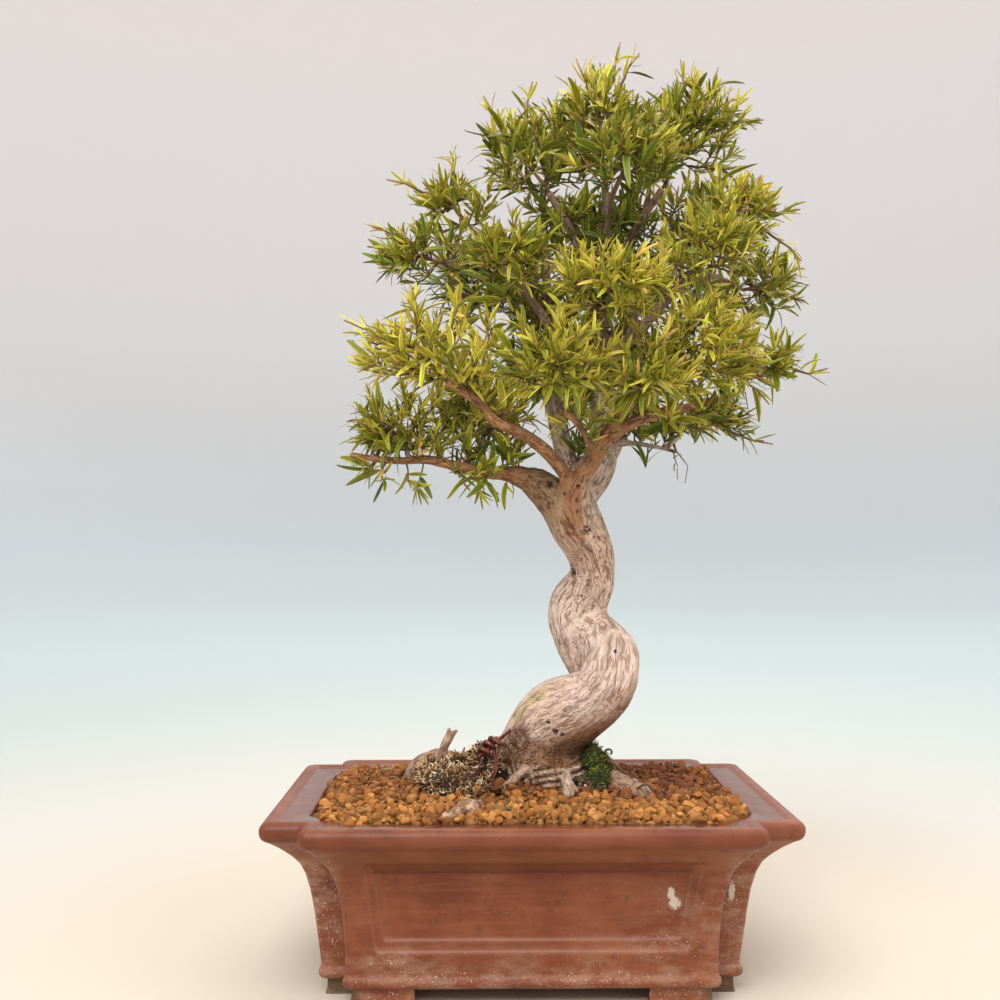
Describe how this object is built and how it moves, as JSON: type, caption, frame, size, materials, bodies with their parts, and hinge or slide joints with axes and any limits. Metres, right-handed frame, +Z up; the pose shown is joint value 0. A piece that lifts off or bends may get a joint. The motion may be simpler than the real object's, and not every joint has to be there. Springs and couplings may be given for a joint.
{
  "type": "willow leaf fig bonsai",
  "caption": "Willow leaf fig bonsai with a coiled pale trunk and an airy crown of narrow leaves, in a red-brown clay pot with stepped corners.",
  "frame": {"origin": "on the surface that the pot's feet stand on, under the middle of the whole object's box; the pot's own middle is 22 mm towards -X and 5 mm towards -Y", "axes": "+Z up, the tree's front faces -Y, +X to the right seen from the front"},
  "size_m": [0.3727, 0.2788, 0.6278],
  "materials": {
    "clay": "unglazed red-brown stoneware, satin, with white lime deposits low down",
    "soil": "porous orange-brown clay granules",
    "bark": "pale furrowed bark, reddish on the young limbs",
    "leaf": "leathery narrow leaves, satin, green to yellow-green",
    "green_moss": "living moss",
    "dry_moss": "dry grey moss and lichen",
    "tie_wire": "tarnished reddish tie wire",
    "dark_wire": "dark oxidised wire",
    "screen": "black plastic mesh"
  },
  "bodies": {
    "root": {"pot": "clay", "drain_screen_left": "screen", "drain_screen_right": "screen", "soil": "soil", "wood": "bark", "green_moss": "green_moss", "dry_moss": "dry_moss", "tie_wire": "tie_wire", "wire_end": "dark_wire", "spray_top_left": "leaf", "spray_top_middle": "leaf", "spray_top_right": "leaf", "spray_top_front": "leaf", "spray_top_back": "leaf", "spray_top_back_left": "leaf", "spray_right_high": "leaf", "spray_right_side": "leaf", "spray_right_high_back": "leaf", "spray_right_front": "leaf", "spray_right_tip": "leaf", "spray_right_low_pad": "leaf", "spray_right_back_pad": "leaf", "spray_right_front_high": "leaf", "spray_left_high": "leaf", "spray_left_middle": "leaf", "spray_left_front": "leaf", "spray_left_low": "leaf", "spray_left_inner": "leaf", "spray_left_back": "leaf", "spray_front_high": "leaf", "spray_front_left_middle": "leaf", "spray_front_right_middle": "leaf", "spray_back_high": "leaf", "spray_back_left": "leaf", "spray_back_right": "leaf", "spray_front_left_high": "leaf"}
  },
  "joints": []
}
